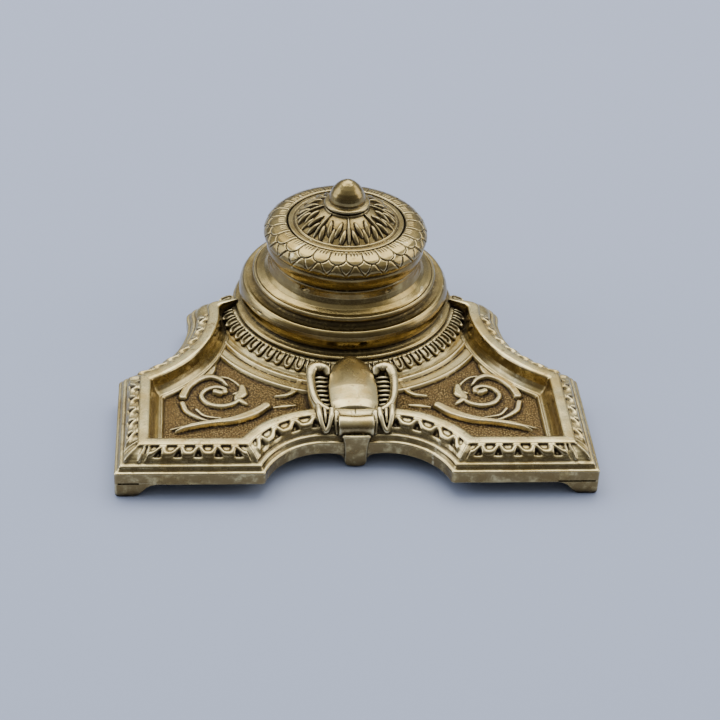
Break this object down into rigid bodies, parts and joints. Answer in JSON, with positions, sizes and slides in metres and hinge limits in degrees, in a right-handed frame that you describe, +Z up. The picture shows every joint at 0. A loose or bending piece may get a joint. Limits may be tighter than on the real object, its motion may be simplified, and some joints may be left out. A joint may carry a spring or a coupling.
{
  "type": "inkwell",
  "caption": "Cast brass inkstand with sunken ornamental panels, a round ink pot housing and a hinged lid with an acorn knob",
  "frame": {"origin": "on the table surface, under the middle of the stand box", "axes": "+Z up, +X to the right seen from the front, the front face of the stand faces -Y"},
  "size_m": [0.122, 0.1052, 0.0486],
  "materials": {
    "cast_brass": "cast and hand polished, brown patina in the recesses",
    "hinge_brass": "dull machined brass",
    "steel": "plain turned steel",
    "glass_pot": "pressed clear glass",
    "cork_ring": "compressed cork, matt"
  },
  "bodies": {
    "stand": {"base_casting": "cast_brass", "well_housing": "cast_brass", "ink_liner": "glass_pot", "liner_ring": "cork_ring", "hinge_body_leaf": "hinge_brass", "hinge_pin": "steel", "housing_screw_1": "steel", "housing_washer_1": "hinge_brass", "housing_screw_2": "steel", "housing_washer_2": "hinge_brass", "housing_screw_3": "steel", "housing_washer_3": "hinge_brass", "hinge_body_screw_1": "steel", "hinge_body_screw_2": "steel"},
    "lid": {"lid_ring": "cast_brass", "lid_dome": "cast_brass", "finial_knob": "cast_brass", "finial_washer": "hinge_brass", "finial_nut": "hinge_brass", "hinge_lid_leaf": "hinge_brass", "hinge_lid_screw_1": "steel", "hinge_lid_screw_2": "steel"}
  },
  "joints": [
    {"name": "lid_hinge", "type": "hinge", "parent": "stand", "child": "lid", "pos_m": [0, 0.046, 0.0264], "axis": [-1, 0, 0], "range_deg": [0, 105]}
  ]
}
